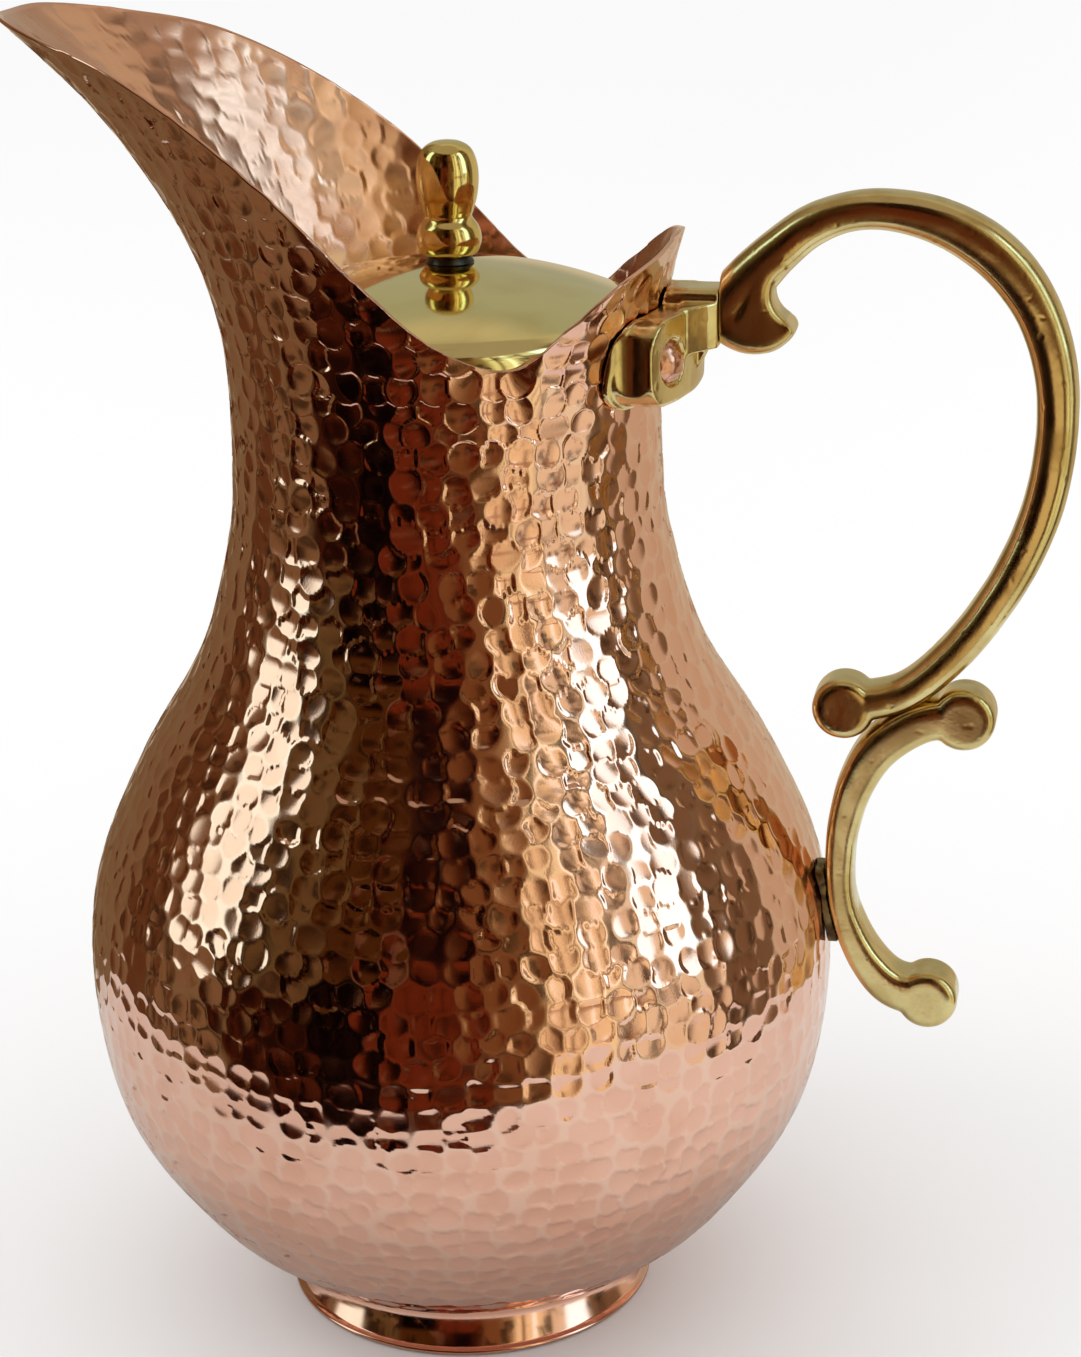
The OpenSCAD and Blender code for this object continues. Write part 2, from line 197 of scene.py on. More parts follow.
def weld(mesh, distance):
    """Joins a mesh's doubled points, drops its flattened faces and turns its faces outwards."""
    bm = bmesh.new()
    bm.from_mesh(mesh)
    bmesh.ops.remove_doubles(bm, verts=bm.verts, dist=distance * MM)
    bmesh.ops.dissolve_degenerate(bm, edges=bm.edges, dist=distance * MM)
    bmesh.ops.recalc_face_normals(bm, faces=bm.faces)
    bm.to_mesh(mesh)
    bm.free()


def melted(mesh, voxel, smoothing):
    """One rounded skin over the mesh's overlapping closed shells, as a casting has."""
    scratch = bpy.data.objects.new("scratch", mesh)
    bpy.context.scene.collection.objects.link(scratch)
    remesh = scratch.modifiers.new("remesh", "REMESH")
    remesh.mode = "VOXEL"
    remesh.voxel_size = voxel * MM * 1
    smooth = scratch.modifiers.new("smooth", "SMOOTH")
    smooth.factor = 0.5
    smooth.iterations = smoothing
    graph = bpy.context.evaluated_depsgraph_get()
    skin = bpy.data.meshes.new_from_object(scratch.evaluated_get(graph))
    bpy.data.objects.remove(scratch)
    return skin


def coordinates(mesh):
    values = np.empty(len(mesh.vertices) * 3)
    mesh.vertices.foreach_get("co", values)
    return values.reshape(-1, 3) / MM


def move_points(mesh, moved):
    mesh.vertices.foreach_set("co", (moved * MM).ravel())
    mesh.update()


def roughen(mesh, depth, scale, seed):
    """Uneven surface of a hand-finished casting: soft waves of that depth and size, and small pits."""
    points = coordinates(mesh)
    normals = np.array([v.normal[:] for v in mesh.vertices])
    shift = Vector((seed, 2 * seed, 3 * seed))
    waves = np.array([noise.noise(Vector(p / scale) + shift) for p in points])
    fine = np.array([noise.noise(Vector(p / (0.3 * scale)) - shift) for p in points])
    pits = np.clip(fine - 0.42, 0, None) * 4
    move_points(mesh, points + normals * (depth * (waves - 0.4) - depth * 0.6 * pits)[:, None])


# ---- node materials ----

class Nodes:
    """Short ways to add and join nodes in a material or world."""

    def __init__(self, tree):
        self.tree = tree
        self.tree.nodes.clear()

    def add(self, kind, inputs=(), **settings):
        node = self.tree.nodes.new("ShaderNode" + kind)
        for key, value in settings.items():
            setattr(node, key, value)
        for socket, value in dict(inputs).items():
            self.feed(node.inputs[socket], value)
        return node

    def feed(self, socket, value):
        if isinstance(value, bpy.types.NodeSocket):
            self.tree.links.new(value, socket)
        else:
            socket.default_value = value

    def math(self, operation, a, b=0.0):
        return self.add("Math", {0: a, 1: b}, operation=operation).outputs[0]

    def ramp(self, value, low, high, start, end):
        """value between low and high becomes start to end, smoothly."""
        inputs = {"Value": value, "From Min": low, "From Max": high, "To Min": start, "To Max": end}
        return self.add("MapRange", inputs, interpolation_type="SMOOTHSTEP").outputs["Result"]

    def mix(self, factor, a, b):
        """Colour b over colour a by factor."""
        node = self.add("Mix", data_type="RGBA")
        self.feed(node.inputs["Factor"], factor)
        self.feed(node.inputs["A"], a)
        self.feed(node.inputs["B"], b)
        return node.outputs["Result"]

    def noise(self, place, scale, detail=3.0, distortion=0.0):
        inputs = {"Vector": place, "Scale": scale, "Detail": detail, "Distortion": distortion}
        return self.add("TexNoise", inputs).outputs[0]


def colour(r, g, b):
    return (r, g, b, 1.0)


def metal(name, clean, aged, roughness, patch=60.0, grain=2500.0, grain_depth=0.01, lines=None, ridge_sheen=None):
    """Polished metal: clean and aged colours in soft patches, uneven gloss, a fine grain or turned lines.

    roughness is the pair of its least and most. patch and grain are in cycles to the metre.
    lines=(cycles per metre, x of the axis) adds fine rings round that vertical axis.
    The last argument is a painted highlight colour for the ridges between blows, where the mesh has a
    "ridge" attribute.
    """
    material = bpy.data.materials.new(name)
    material.use_nodes = True
    nodes = Nodes(material.node_tree)
    place = nodes.add("TexCoord").outputs["Object"]
    patches = nodes.noise(place, patch, 4.0, 0.6)
    specks = nodes.noise(place, grain, 2.0)
    wear_and_sheen = nodes.ramp(patches, 0.42, 0.68, 0.0, 1.0)
    tint = nodes.mix(wear_and_sheen, clean, aged)
    streaks = nodes.noise(place, patch * 5, 5.0, 1.2)
    least, most = roughness
    gloss = nodes.ramp(nodes.math("ADD", patches, nodes.math("MULTIPLY", streaks, 0.5)),
                       0.55, 0.95, least, most)
    # Painted highlight: the ridges between hammer blows are lightened towards a pale colour in place of
    # their glints
    if ridge_sheen:
        ridge = nodes.add("Attribute", attribute_name="ridge").outputs["Fac"]
        tint = nodes.mix(nodes.math("MULTIPLY", ridge, RIDGE_SHEEN_SHARE), tint, ridge_sheen)
    height = specks
    if lines:
        per_metre, axis_x = lines
        split = nodes.add("SeparateXYZ", {0: place})
        x = nodes.math("SUBTRACT", split.outputs[0], axis_x * MM)
        radius = nodes.math("SQRT", nodes.math("ADD", nodes.math("MULTIPLY", x, x),
                                               nodes.math("MULTIPLY", split.outputs[1], split.outputs[1])))
        run = nodes.math("ADD", nodes.math("MULTIPLY", radius, 0.8), split.outputs[2])
        rings = nodes.noise(nodes.add("CombineXYZ", {0: run}).outputs[0], per_metre, 2.0)
        height = nodes.math("ADD", nodes.math("MULTIPLY", specks, 0.3), rings)
    bump = nodes.add("Bump", {"Strength": 0.5, "Distance": grain_depth * MM, "Height": height})
    shader = nodes.add("BsdfPrincipled", {"Base Color": tint, "Roughness": gloss, "Metallic": 1.0,
                                          "Normal": bump.outputs[0]})
    nodes.add("OutputMaterial", {"Surface": shader.outputs[0]})
    return material


COPPER = colour(0.93, 0.52, 0.39)
COPPER_AGED = colour(0.89, 0.47, 0.34)
BRASS = colour(0.80, 0.63, 0.30)
BRASS_AGED = colour(0.66, 0.47, 0.19)

# Share of the pale painted highlight colour mixed over the ridges between hammer blows
RIDGE_SHEEN_SHARE = 0.3

# The hammered copper's pale ridge colour is a painted highlight on the ridges between blows
hammered_copper = metal("hammered_copper", COPPER, COPPER_AGED, (0.07, 0.13), ridge_sheen=colour(1.0, 0.74, 0.6))
satin_copper = metal("satin_copper", colour(0.88, 0.50, 0.36), colour(0.80, 0.40, 0.27), (0.17, 0.28),
                     patch=45)
polished_copper = metal("polished_copper", COPPER, COPPER_AGED, (0.06, 0.12), lines=(2500, 0))
rivet_copper = metal("rivet_copper", colour(0.80, 0.40, 0.28), colour(0.5, 0.24, 0.15), (0.16, 0.3),
                     patch=300)
cast_brass = metal("cast_brass", BRASS, BRASS_AGED, (0.16, 0.26), patch=90, grain=1500, grain_depth=0.03)
pad_brass = metal("pad_brass", colour(0.30, 0.22, 0.10), colour(0.10, 0.07, 0.04), (0.35, 0.6),
                  patch=250, grain=1200, grain_depth=0.06)
sheet_brass = metal("sheet_brass", colour(0.84, 0.72, 0.36), colour(0.76, 0.62, 0.28), (0.06, 0.1), patch=40,
                    lines=(1800, KNOB_X))
turned_brass = metal("turned_brass", colour(0.84, 0.66, 0.26), colour(0.74, 0.53, 0.18), (0.08, 0.13),
                     patch=120, lines=(3000, KNOB_X))
dark_steel = metal("dark_steel", colour(0.09, 0.085, 0.08), colour(0.04, 0.038, 0.035), (0.3, 0.5),
                   patch=300, lines=(4000, KNOB_X))


# ---- vessel ----

# Rough distances: between points of the wall's grid, from neck to rim, and between listed rim points
SPACING = 0.55
FLARE_LENGTH = 92
RIM_STEP = 22
# Blows: distance along a row and between rows, mean radius and depth, and spread of their tilt
BLOW_PITCH = 5.7
BLOW_ROW = 4.95
BLOW_R = 3.3
BLOW_DEPTH = 0.21
BLOW_TILT = 0.035
# Towards the mouth the blows deepen by this share, from height DEEPER_Z over the next DEEPER_SPAN
DEEPER = 0.4
DEEPER_Z = 130
DEEPER_SPAN = 60
# Metal beaten in less than this is a ridge between blows that gets a painted highlight, and the softness of
# that highlight's edge
RIDGE_DEPTH = 0.04
RIDGE_SOFTNESS = 0.7
# The outer skin lies this far inside the CAD wall before it is beaten
WORKED = 0.2
# Share of each blow that shows on the inner face
DENTED_INSIDE = 0.5
# How far the two sides of the rim lie below its crest
RIM_ROUND = 0.25


def wall_grid(rim):
    """Outer wall as a grid of points: rows from the bottom to the rim, one column for each rim point."""
    angle = np.arctan2(rim[:, 1], rim[:, 0])
    rim_r = np.hypot(rim[:, 0], rim[:, 1])
    low = evenly(open_curve(MERIDIAN, 40), SPACING)
    low[0, 0] = 0.4
    s = np.linspace(0, 1, round(FLARE_LENGTH / SPACING))[1:, None]
    high_r = NECK_R + (rim_r - NECK_R) * values_at(FLARE, s)
    high_z = NECK_Z + (rim[:, 2] - NECK_Z) * s
    r = np.vstack([np.repeat(low[:, :1], len(rim), 1), high_r])
    z = np.vstack([np.repeat(low[:, 1:], len(rim), 1), high_z])
    return np.stack([r * np.cos(angle), r * np.sin(angle), z], -1)


def grid_normals(grid):
    """Unit normals of a grid whose columns close round, pointing out of the vessel."""
    up = np.gradient(grid, axis=0)
    across = np.roll(grid, -1, axis=1) - np.roll(grid, 1, axis=1)
    normals = np.cross(across, up)
    normals /= np.linalg.norm(normals, axis=-1, keepdims=True)
    side = np.sign((normals[len(grid) // 2] * grid[len(grid) // 2]).sum(-1).mean())
    return normals * side


def blow_centres(grid, rng):
    """Where the hammer fell: rows at even distances along the wall, staggered and a little uneven."""
    along = lengths(grid)
    columns = np.arange(grid.shape[1])
    centres = []
    for level in np.arange(BLOW_ROW, along[-1].max(), BLOW_ROW):
        drift = 0.35 * np.sin(columns / columns[-1] * 2 * math.pi * 3 + level)
        reach = level + drift
        inside = reach < along[-1] - 0.3 * BLOW_PITCH
        row = np.array([[np.interp(reach[j], along[:, j], grid[:, j, k]) for k in range(3)]
                        for j in columns[inside]])
        if len(row) < 3:
            continue
        step = lengths(row)
        count = max(1, round(step[-1] / BLOW_PITCH))
        places = (np.arange(count) + rng.uniform()) / count * step[-1]
        places += rng.normal(0, 0.11 * BLOW_PITCH, count)
        spots = np.stack([np.interp(places, step, row[:, k]) for k in range(3)], 1)
        centres.append(spots + rng.normal(0, 0.07 * BLOW_PITCH, spots.shape))
    return np.vstack(centres)


def blow_depth(points, centres, rng):
    """How far each point is beaten in. A blow is a shallow round bowl that cuts into earlier ones."""
    tree = kdtree.KDTree(len(centres))
    for i, centre in enumerate(centres):
        tree.insert(centre, i)
    tree.balance()
    radius = BLOW_R * rng.uniform(0.92, 1.1, len(centres))
    depth = BLOW_DEPTH * rng.uniform(0.6, 1.4, len(centres))
    turn = np.arange(len(centres)) + rng.normal(0, 60, len(centres))
    lean = rng.normal(0, BLOW_TILT, (len(centres), 3))
    found = [tree.find_n(p, 4) for p in points]
    index = np.array([[hit[1] for hit in near] for near in found])
    away = np.array([[hit[2] for hit in near] for near in found])
    reach = away / radius[index]
    latest = np.where(reach < 1, turn[index], -1e9).argmax(1)
    pick = np.arange(len(points))
    blow = index[pick, latest]
    share = 1 - np.minimum(reach[pick, latest], 1) ** 2
    tilt = ((points - centres[blow]) * lean[blow]).sum(1)
    return np.clip(depth[blow] * share + tilt * np.minimum(4 * share, 1), 0, None)


def vessel():
    """Vessel wall with hammer blows outside, a rounded rim, and a satin inside with weaker blows."""
    rim = closed_curve(RIM_HALF + [(x, -y, z) for x, y, z in RIM_HALF[-2:0:-1]], round(RIM_STEP / SPACING))
    wall = wall_grid(rim)
    rows, columns, _ = wall.shape
    normals = grid_normals(wall)
    rng = np.random.default_rng(7)
    centres = blow_centres(wall[::2, ::2], rng)
    beaten = blow_depth(wall.reshape(-1, 3), centres, rng).reshape(rows, columns, 1)
    # Where the painted ridge highlight falls: metal beaten in less than RIDGE_DEPTH
    ridge = np.clip(1 - beaten / RIDGE_DEPTH, 0, 1) ** RIDGE_SOFTNESS
    beaten *= 1 + DEEPER * np.clip((wall[..., 2:] - DEEPER_Z) / DEEPER_SPAN, 0, 1)
    tangent = wall[-1] - wall[-3]
    tangent /= np.linalg.norm(tangent, axis=-1, keepdims=True)
    outer = wall - normals * (WORKED + beaten)
    inner = (wall - normals * (WALL_T + DENTED_INSIDE * beaten))[::-1]
    edge = outer[-1] * 0.5 + inner[0] * 0.5
    lip = [edge + (outer[-1] - edge) * 0.6, edge, edge + (inner[0] - edge) * 0.6]
    outer[-1] -= tangent * RIM_ROUND
    inner[0] -= tangent * RIM_ROUND
    rings = np.concatenate([outer, lip, inner[:-1:2], inner[-1:]])
    faces = bands(len(rings), columns).tolist()
    first, last = list(range(columns)), [(len(rings) - 1) * columns + j for j in range(columns)]
    faces += [first[::-1], last]
    piece = add_piece("hammered_vessel", rings.reshape(-1, 3), faces, "jug", hammered_copper)
    piece.data.materials.append(satin_copper)
    place_in_rings = np.arange(len(faces)) // columns
    satin = (place_in_rings > rows + len(lip)).astype(int)
    satin[-2:] = (0, 1)
    piece.data.polygons.foreach_set("material_index", satin)
    # Ridge mask for the painted highlight, kept on the outer points as the "ridge" attribute
    wear_and_sheen = np.zeros(len(piece.data.vertices))
    wear_and_sheen[:ridge.size] = ridge.ravel()
    piece.data.attributes.new("ridge", "FLOAT", "POINT").data.foreach_set("value", wear_and_sheen)
    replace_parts(piece, "body")


def foot():
    """Flared skirt from its bead up to the belly, and its inner face."""
    bead = [(FOOT_R + BEAD_R * math.sin(a), BEAD_R - BEAD_R * math.cos(a))
            for a in np.linspace(0, 0.85 * math.pi, 12)]
    wall = evenly(open_curve(FOOT_WALL, 12), 0.3)
    wall = wall[wall[:, 1] < FOOT_TOP_Z] * [-1, 1] + [FOOT_R, 0]
    outside = np.vstack([[(FOOT_R - WALL_T, 0)], bead, wall[wall[:, 1] > 2 * BEAD_R]])
    inside = wall[::-4] - [WALL_T, 0]
    points, faces = lathe(np.vstack([outside, inside[:-1]]), 256, closed=True)
    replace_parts(add_piece("spun_foot", points, faces, "jug", polished_copper), "foot_ring")


# ---- handle ----

def bar_section(width, fullness):
    """Cross-section of a bar, as distance towards its outer side and distance across.

    fullness is 2 for an ellipse and more for flatter sides with tighter edges.
    """
    angles = 2 * math.pi * (np.arange(SECTION_POINTS) + 0.5) / SECTION_POINTS
    reach = (abs(np.cos(angles)) ** fullness + abs(np.sin(angles)) ** fullness) ** (-1 / fullness)
    return np.stack([width / 2 * reach * np.cos(angles), -BAR_T / 2 * reach * np.sin(angles)], 1)


def add_shell(bm, points, faces):
    corners = [bm.verts.new(Vector(p) * MM) for p in points]
    for face in faces:
        bm.faces.new([corners[k] for k in face])


def add_bar(bm, line, side, fullness):
    """Bar along a centreline (x, z, width) in the plane y = 0, its outer side on the left if side is 1."""
    path = open_curve(line, 14)
    run = np.gradient(path[:, :2], axis=0)
    run /= np.linalg.norm(run, axis=1, keepdims=True)
    points = [(p[0] - side * c[0] * t[1], c[1], p[1] + side * c[0] * t[0])
              for p, t in zip(path, run) for c in bar_section(p[2], fullness)]
    n = SECTION_POINTS
    last = (len(path) - 1) * n
    add_shell(bm, points, bands(len(path), n).tolist() + [list(range(n)), [last + j for j in range(n)]])


def layers(inset_outline):
    """Points of a plate BAR_T thick with round edges. inset_outline(d) is its outline d inside the edge."""
    angles = np.linspace(0, math.pi / 2, 5)
    steps = [(EDGE_R * (1 - math.sin(a)), BAR_T / 2 - EDGE_R * (1 - math.cos(a))) for a in angles]
    rings = [(d, -y) for d, y in steps] + [(d, y) for d, y in steps[::-1]]
    return [(x, y, z) for d, y in rings for x, z in inset_outline(d)], len(rings)


def add_plate(bm, inset_outline):
    points, rings = layers(inset_outline)
    n = len(points) // rings
    ends = [list(range(n)), list(range((rings - 1) * n, rings * n))]
    add_shell(bm, points, bands(rings, n).tolist() + ends)


def add_curl(bm, place):
    """Round-edged disc at the end of a scroll."""
    x, z, r = place
    turns = np.linspace(0, 2 * math.pi, 73)[:-1]
    add_plate(bm, lambda d: [(x + (r - d) * math.cos(a), z + (r - d) * math.sin(a)) for a in turns])


def add_web(bm):
    """Web that rounds the corner between the arm and the hook."""
    x, z, r = NOTCH
    turns = np.radians(np.linspace(118, 242, 25))
    add_plate(bm, lambda d: WEB[:3] + [(x + (r + d) * math.cos(a), z + (r + d) * math.sin(a)) for a in turns]
              + WEB[3:])


def cut(bm, point, normal):
    """Cuts away what lies on the normal's side of a plane, and closes the cut."""
    geometry = bm.verts[:] + bm.edges[:] + bm.faces[:]
    result = bmesh.ops.bisect_plane(bm, geom=geometry, plane_co=Vector(point) * MM,
                                    plane_no=normal, clear_outer=True)
    edges = [e for e in result["geom_cut"] if isinstance(e, bmesh.types.BMEdge)]
    bmesh.ops.contextual_create(bm, geom=edges)


def scroll_mesh(name, shells, voxel):
    """Melts several closed shells, each a function that fills a bmesh, into one casting."""
    joined = bmesh.new()
    for build in shells:
        bm = bmesh.new()
        build(bm)
        bmesh.ops.recalc_face_normals(bm, faces=bm.faces)
        part = bpy.data.meshes.new("shell")
        bm.to_mesh(part)
        bm.free()
        joined.from_mesh(part)
        bpy.data.meshes.remove(part)
    mesh = bpy.data.meshes.new(name)
    joined.to_mesh(mesh)
    joined.free()
    skin = melted(mesh, voxel, 14)
    bpy.data.meshes.remove(mesh)
    return skin


SEAM_NORMAL = Vector((-math.sin(SEAM_ANGLE), 0, math.cos(SEAM_ANGLE)))
SEAM_POINT = Vector((SEAM[0], 0, SEAM[1]))


def upper_scroll():
    def main_bar(bm):
        add_bar(bm, UPPER_SCROLL, 1, 2.7)
        cut(bm, (STEM_END_X + 0.02, 0, 0), Vector((-1, 0, 0)))

    def hook(bm):
        add_bar(bm, HOOK, -1, 3.2)
        cut(bm, (STEM_END_X + 0.02, 0, 0), Vector((-1, 0, 0)))

    mesh = scroll_mesh("upper_scroll", [main_bar, hook, add_web, lambda bm: add_curl(bm, UPPER_CURL)], 0.28)
    roughen(mesh, 0.07, 6.0, 3.0)
    piece = add_object("cast_upper_scroll", mesh, "jug", cast_brass)
    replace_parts(piece, "handle_upper_scroll")


def lower_scroll():
    def below_seam(bm):
        cut(bm, SEAM_POINT - SEAM_NORMAL * SEAM_GAP, SEAM_NORMAL)

    def main_bar(bm):
        add_bar(bm, LOWER_SCROLL, -1, 4.0)
        below_seam(bm)

    def top_curl(bm):
        add_curl(bm, LOWER_CURL_TOP)
        below_seam(bm)

    mesh = scroll_mesh("lower_scroll", [main_bar, top_curl, lambda bm: add_curl(bm, LOWER_CURL_END)], 0.28)
    roughen(mesh, 0.07, 6.0, 5.0)
    piece = add_object("cast_lower_scroll", mesh, "jug", cast_brass)
    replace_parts(piece, "handle_lower_scroll")


def rounded_from_cad(node, name, voxel, smoothing, material, depth, seed):
    """A casting with soft edges in the shape of a CAD node."""
    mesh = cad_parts[node].data.copy()
    weld(mesh, 0.002)
    skin = melted(mesh, voxel, smoothing)
    roughen(skin, depth, 5.0, seed)
    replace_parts(add_object(name, skin, "jug", material), node)


def rivets():
    """Copper rivets through the bracket, with heads peened by hand."""
    ball_r = (RIVET_HEAD_R ** 2 + RIVET_HEAD_H ** 2) / (2 * RIVET_HEAD_H)
    steep = math.asin(RIVET_HEAD_R / ball_r)
    head = [(ball_r * math.sin(a), RIVET_SEAT + RIVET_HEAD_H - ball_r + ball_r * math.cos(a))
            for a in np.linspace(0, steep, 20)]
    outline = head + [(RIVET_R, RIVET_SEAT), (RIVET_R, RIVET_TAIL_X[1]), (RIVET_TAIL_R, RIVET_TAIL_X[1]),
                      (RIVET_TAIL_R, RIVET_TAIL_X[0]), (0, RIVET_TAIL_X[0])]
    points, faces = lathe(outline, 72)
    waves = np.array([noise.noise(Vector(p / 1.6)) for p in points])
    points = points - np.array([0, 0, 1]) * (0.3 * np.clip(waves + 0.2, 0, None)
                                             * (points[:, 2] > RIVET_SEAT + 0.2))[:, None]
    outwards = np.stack([points[:, 2], points[:, 1], -points[:, 0]], 1)
    every_point, every_face = [], []
    for side in (-1, 1):
        turn = np.array(Matrix.Rotation(math.radians(side * RIVET_ANGLE), 3, "Z"))
        every_face += [[k + len(every_point) * len(points) for k in f] for f in faces]
        every_point.append(outwards @ turn.T + [0, 0, RIVET_Z])
    piece = add_piece("peened_rivets", np.vstack(every_point), every_face, "jug", rivet_copper)
    weld(piece.data, 0.001)
    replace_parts(piece, "upper_rivets")


# ---- lid ----

def lid_face(inset):
    """Outline of the lid's outer face, or of the face that far inside it: dome, round shoulder, skirt."""
    corner = LID_SKIRT_R - SHOULDER_R
    edge = math.asin(corner / (DOME_R - SHOULDER_R))
    centre_z = LID_TOP_Z - DOME_R + (DOME_R - SHOULDER_R) * math.cos(edge)
    dome = [((DOME_R - inset) * math.sin(a), LID_TOP_Z - DOME_R + (DOME_R - inset) * math.cos(a))
            for a in np.linspace(0, edge, 40)]
    shoulder = [(corner + (SHOULDER_R - inset) * math.sin(a), centre_z + (SHOULDER_R - inset) * math.cos(a))
                for a in np.linspace(edge, math.pi / 2, 24)]
    return dome + shoulder + [(LID_SKIRT_R - inset, LID_SKIRT_Z)]


def lid():
    points, faces = lathe(lid_face(0) + lid_face(LID_T)[::-1], 256)
    piece = add_piece("spun_lid", points, faces, "lid", sheet_brass)
    weld(piece.data, 0.001)
    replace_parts(piece, "lid_dome")

    outline = [(0, KNOB[0][1])] + open_curve(KNOB, 10).tolist()
    points, faces = lathe(outline, 128)
    points += [KNOB_X, 0, LID_TOP_Z]
    piece = add_piece("turned_knob", points, faces, "lid", turned_brass)
    weld(piece.data, 0.001)
    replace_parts(piece, "knob")

    half = WASHER_H / 2
    ring = [(WASHER_R - 0.35 * (1 - math.cos(a)), half - half * math.cos(a))
            for a in np.linspace(0.3, 2.84, 16)]
    points, faces = lathe([(2.0, 0.1)] + ring + [(2.0, WASHER_H - 0.1)], 96, closed=True)
    points += [KNOB_X, 0, LID_TOP_Z]
    piece = add_piece("steel_washer", points, faces, "lid", dark_steel)
    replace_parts(piece, "knob_washer")


# ---- studio ----

def glow(nodes, tint):
    return nodes.add("Background", {"Color": tint, "Strength": 1.0}).outputs[0]


def room():
    """White light all round, and for reflections a room of soft panels round the jug.

    A panel is (first azimuth, last azimuth, lowest, highest, soft edge, colour), in degrees. Azimuth 0 is
    towards the viewer, -Y, and +90 is +X. Later panels lie over earlier ones.
    """
    panels = [
        (-200, 200, -95, 95, 1, (0.19, 0.13, 0.065)),
        (-200, 200, 40, 95, 12, (0.40, 0.34, 0.25)),
        (118, 200, -70, 60, 4, (0.57, 0.51, 0.37)),
        (-200, -150, -70, 60, 6, (0.60, 0.52, 0.38)),
        (150, 200, 6, 50, 5, (0.42, 0.42, 0.34)),
        (-200, -150, 6, 50, 5, (0.42, 0.42, 0.34)),
        (-110, -92, -28, 28, 4, (0.11, 0.05, 0.02)),
        (92, 118, -70, 55, 3, (0.18, 0.13, 0.07)),
        (-62, 34, -70, 55, 3, (0.05, 0.012, 0.004)),
        (-60, -35, 0, 55, 4, (0.11, 0.075, 0.03)),
        (-35, -12, 13, 55, 5, (0.06, 0.024, 0.005)),
        (-52, -41, -24, -3, 5, (0.012, 0.004, 0.002)),
        (-36, -8, -32, 14, 4, (0.002, 0.001, 0.001)),
        (-10, 20, -26, 15, 4, (0.12, 0.024, 0.008)),
        (-1, 12, 17, 55, 4, (0.006, 0.002, 0.002)),
        (18, 32, -26, 50, 4, (0.17, 0.08, 0.03)),
        (31, 40, -26, 50, 4, (0.30, 0.20, 0.09)),
        (39, 60, -70, 50, 3, (0.96, 0.90, 0.55)),
        (60, 92, -70, 50, 3, (0.86, 0.86, 0.64)),
        (44, 46, -20, 50, 1, (0.16, 0.07, 0.03)),
        (51, 54, -8, 50, 1, (1.3, 1.5, 1.4)),
        (62, 64, -26, 50, 1, (0.22, 0.11, 0.05)),
        (40, 70, -6, -3, 1, (0.40, 0.26, 0.15)),
    ]
    windows = [(74, 90, 0, 50, 2, (1.4, 2.1, 2.5)), (-83, -62, 2, 50, 2, (1.15, 1.55, 1.5))]
    world = bpy.data.worlds.new("studio")
    bpy.context.scene.world = world
    world.use_nodes = True
    nodes = Nodes(world.node_tree)
    split = nodes.add("SeparateXYZ", {0: nodes.add("TexCoord").outputs["Generated"]})
    x, y, z = split.outputs
    azimuth = nodes.math("DEGREES", nodes.math("ARCTAN2", x, nodes.math("MULTIPLY", y, -1.0)))
    height = nodes.math("DEGREES", nodes.math("ARCSINE", z))

    def lay(seen, panels):
        for first, last, low, high, edge, tint in panels:
            mask = nodes.math("MULTIPLY", nodes.ramp(azimuth, first - edge, first + edge, 0.0, 1.0),
                              nodes.ramp(azimuth, last - edge, last + edge, 1.0, 0.0))
            mask = nodes.math("MULTIPLY", mask, nodes.ramp(height, low - edge, low + edge, 0.0, 1.0))
            mask = nodes.math("MULTIPLY", mask, nodes.ramp(height, high - edge, high + edge, 1.0, 0.0))
            seen = nodes.mix(mask, seen, colour(*tint))
        return seen

    upright = nodes.add("CombineXYZ", {0: x, 1: y, 2: nodes.math("MULTIPLY", z, 0.4)}).outputs[0]
    near = nodes.math("MULTIPLY", nodes.ramp(y, 0.1, 0.6, 1.0, 0.0), nodes.ramp(height, 45, 60, 1.0, 0.0))
    folds = nodes.ramp(nodes.noise(upright, 7.0, 2.0, 0.6), 0.36, 0.5, 0.8, 0.0)
    gleams = nodes.ramp(nodes.noise(upright, 9.0, 2.0, 0.5), 0.62, 0.7, 0.0, 0.3)
    seen = lay(colour(0, 0, 0), panels)
    seen = nodes.mix(nodes.math("MULTIPLY", folds, near), seen, colour(0.01, 0.004, 0.002))
    seen = nodes.mix(nodes.math("MULTIPLY", gleams, near), seen, colour(0.30, 0.17, 0.10))
    seen = lay(seen, windows)
    mirror = nodes.add("LightPath").outputs["Is Glossy Ray"]
    white = glow(nodes, colour(1, 1, 1))
    mixed = nodes.add("MixShader", {0: mirror, 1: white, 2: glow(nodes, seen)})
    nodes.add("OutputWorld", {"Surface": mixed.outputs[0]})
    world.cycles.sampling_method = "NONE"


def floor_material(name, left, right, shaded):
    """Matt surface from one grey to another across the jug, faintly mottled.

    shaded is how much darker it is close to the foot.
    """
    material = bpy.data.materials.new(name)
    material.use_nodes = True
    nodes = Nodes(material.node_tree)
    place = nodes.add("TexCoord").outputs["Object"]
    across = nodes.ramp(nodes.add("SeparateXYZ", {0: place}).outputs[0], -0.15, 0.2, 0.0, 1.0)
    mottle = nodes.math("MULTIPLY", nodes.noise(place, 40.0), 0.2)
    tint = nodes.mix(nodes.math("ADD", across, mottle), left, right)
    reach = nodes.add("VectorMath", {0: place}, operation="LENGTH").outputs["Value"]
    tint = nodes.mix(nodes.ramp(reach, 0.06, 0.15, shaded, 0.0), tint, colour(0.3, 0.26, 0.22))
    shader = nodes.add("BsdfPrincipled", {"Base Color": tint, "Roughness": 0.9, "Specular IOR Level": 0.0})
    nodes.add("OutputMaterial", {"Surface": shader.outputs[0]})
    return material


